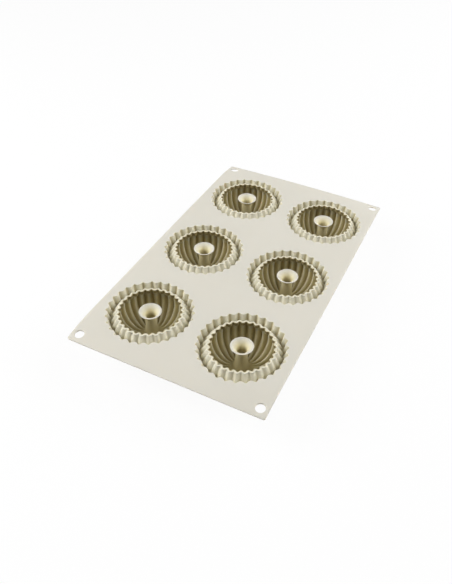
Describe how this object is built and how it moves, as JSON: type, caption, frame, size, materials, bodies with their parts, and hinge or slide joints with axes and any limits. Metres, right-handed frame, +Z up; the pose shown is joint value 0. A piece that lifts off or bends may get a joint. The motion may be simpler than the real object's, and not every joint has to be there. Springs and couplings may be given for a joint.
{
  "type": "silicone mini cake mould",
  "caption": "Flat flexible baking sheet with a grid of round ring-cake cups, each with a fluted groove round its rim, ribbed walls and an open centre tube.",
  "frame": {"origin": "on the table under the middle of the sheet, at the level of the cups' flat feet", "axes": "+X along the sheet's short side, +Y along its long side, +Z up out of the cups' mouths"},
  "size_m": [0.175, 0.3, 0.0335],
  "materials": {
    "sheet_silicone": "satin, pale warm grey",
    "crown_silicone": "satin, pale warm grey",
    "bowl_silicone": "satin, pale warm grey, darker and olive in the shade of the cup",
    "tube_silicone": "satin, pale warm grey"
  },
  "bodies": {
    "root": {"top_sheet": "sheet_silicone", "fluted_crown_1a": "crown_silicone", "ribbed_bowl_1a": "bowl_silicone", "centre_tube_1a": "tube_silicone", "fluted_crown_1b": "crown_silicone", "ribbed_bowl_1b": "bowl_silicone", "centre_tube_1b": "tube_silicone", "fluted_crown_2a": "crown_silicone", "ribbed_bowl_2a": "bowl_silicone", "centre_tube_2a": "tube_silicone", "fluted_crown_2b": "crown_silicone", "ribbed_bowl_2b": "bowl_silicone", "centre_tube_2b": "tube_silicone", "fluted_crown_3a": "crown_silicone", "ribbed_bowl_3a": "bowl_silicone", "centre_tube_3a": "tube_silicone", "fluted_crown_3b": "crown_silicone", "ribbed_bowl_3b": "bowl_silicone", "centre_tube_3b": "tube_silicone"}
  },
  "joints": []
}
